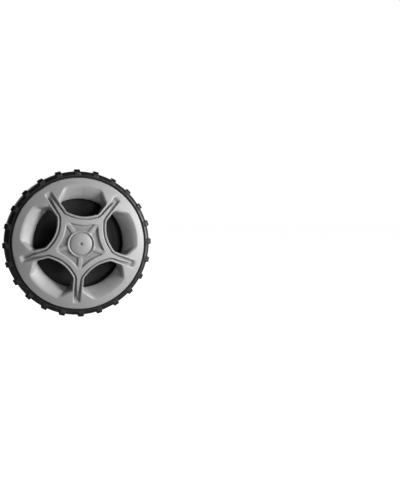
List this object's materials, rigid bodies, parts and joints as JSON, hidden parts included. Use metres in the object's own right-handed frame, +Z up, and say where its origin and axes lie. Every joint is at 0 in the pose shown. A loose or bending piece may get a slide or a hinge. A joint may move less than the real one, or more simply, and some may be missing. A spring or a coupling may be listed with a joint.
{
  "type": "lawn mower wheel",
  "caption": "Plastic mower wheel with a lugged rubber tyre, a silver five-spoke cover that clips into its rim, and ball bearings in its hub.",
  "frame": {"origin": "the wheel's centre: on the axle's axis, at the middle of the tyre's width", "axes": "+Y along the axle, from the cover to the mower's side; +Z up; the cover faces -Y"},
  "size_m": [0.21, 0.0624, 0.21],
  "materials": {
    "tyre_rubber": "matt",
    "body_plastic": "fine grained",
    "cover_plastic": "silver satin",
    "sleeve_steel": "turned",
    "bearing_steel": "ground",
    "shield_steel": "pressed",
    "cage_plastic": "moulded",
    "ball_steel": "polished"
  },
  "bodies": {
    "axle_side": {"front_inner_ring": "bearing_steel", "rear_inner_ring": "bearing_steel", "spacer_sleeve": "sleeve_steel"},
    "wheel": {"tyre": "tyre_rubber", "wheel_body": "body_plastic", "wheel_cover": "cover_plastic", "front_outer_ring": "bearing_steel", "rear_outer_ring": "bearing_steel", "front_outer_shield": "shield_steel", "front_inner_shield": "shield_steel", "rear_outer_shield": "shield_steel", "rear_inner_shield": "shield_steel"},
    "front_ball_train": {"front_cage": "cage_plastic", "front_ball_1": "ball_steel", "front_ball_2": "ball_steel", "front_ball_3": "ball_steel", "front_ball_4": "ball_steel", "front_ball_5": "ball_steel", "front_ball_6": "ball_steel", "front_ball_7": "ball_steel"},
    "rear_ball_train": {"rear_cage": "cage_plastic", "rear_ball_1": "ball_steel", "rear_ball_2": "ball_steel", "rear_ball_3": "ball_steel", "rear_ball_4": "ball_steel", "rear_ball_5": "ball_steel", "rear_ball_6": "ball_steel", "rear_ball_7": "ball_steel"}
  },
  "joints": [
    {"name": "wheel_spin", "type": "hinge", "parent": "axle_side", "child": "wheel", "pos_m": [0, 0, 0], "axis": [0, 1, 0], "continuous": true},
    {"name": "front_ball_orbit", "type": "hinge", "parent": "axle_side", "child": "front_ball_train", "pos_m": [0, 0.0025, 0], "axis": [0, 1, 0], "continuous": true},
    {"name": "rear_ball_orbit", "type": "hinge", "parent": "axle_side", "child": "rear_ball_train", "pos_m": [0, 0.0195, 0], "axis": [0, 1, 0], "continuous": true}
  ],
  "couplings": [
    {"joint": "front_ball_orbit", "follows": "wheel_spin", "ratio": 0.6323},
    {"joint": "rear_ball_orbit", "follows": "wheel_spin", "ratio": 0.6323}
  ]
}
